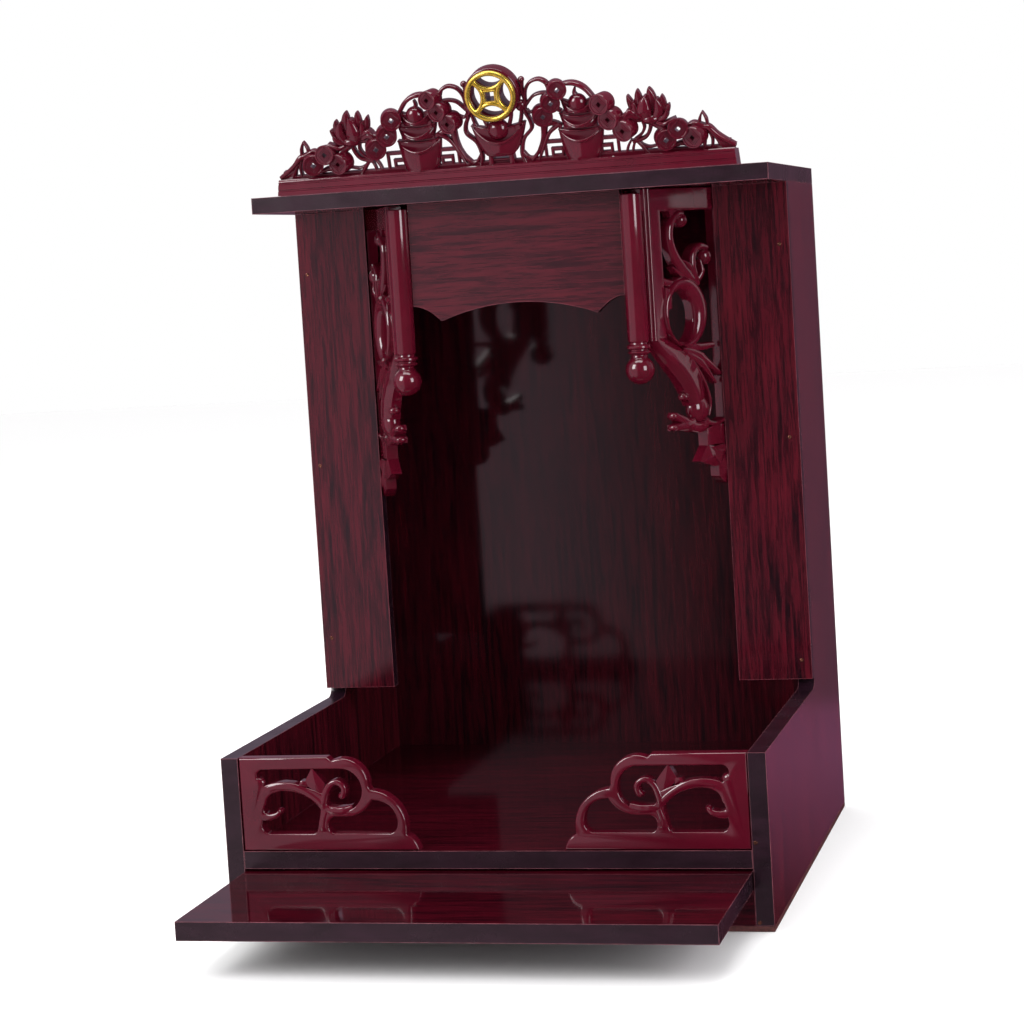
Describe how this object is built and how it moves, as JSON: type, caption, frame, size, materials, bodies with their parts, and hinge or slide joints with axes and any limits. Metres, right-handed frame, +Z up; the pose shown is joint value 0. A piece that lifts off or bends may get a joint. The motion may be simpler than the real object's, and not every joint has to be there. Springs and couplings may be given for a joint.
{
  "type": "household altar cabinet",
  "caption": "Open-fronted shrine cabinet: tall niche behind a shallow offering tray with corner fretwork, pull-out shelf, hanging corner brackets and a leaning openwork crest",
  "frame": {"origin": "Centre of the cabinet's footprint on its underside, the pulled-out shelf left out", "axes": "+X to the viewer's right, +Y to the back, +Z up; the open front and the shelf face -Y"},
  "size_m": [0.485, 0.6515, 0.7464],
  "materials": {
    "laminate": "glossy dark rosewood-grain laminate on particle board",
    "raw_sheet": "plain reddish-brown board",
    "maroon_plastic": "very glossy moulded maroon plastic",
    "gold_plate": "gold-coloured plated plastic"
  },
  "bodies": {
    "cabinet": {"side_panel_right": "laminate", "side_panel_left": "laminate", "bottom_sheet": "raw_sheet", "back_sheet": "laminate", "floor_board": "laminate", "apron_board": "laminate", "shelf_runner_left": "raw_sheet", "shelf_runner_right": "raw_sheet", "pilaster_left": "laminate", "pilaster_right": "laminate", "top_board": "laminate", "lintel_board": "laminate", "fretwork_right": "maroon_plastic", "fretwork_left": "maroon_plastic", "bracket_right": "maroon_plastic", "bracket_left": "maroon_plastic", "crest": "maroon_plastic", "gold_coin": "gold_plate"},
    "shelf": {"pull_out_shelf": "laminate"}
  },
  "joints": [
    {"name": "shelf_slide", "type": "slide", "parent": "cabinet", "child": "shelf", "axis": [0, -1, 0], "range_m": [-0.1695, 0.08]}
  ]
}
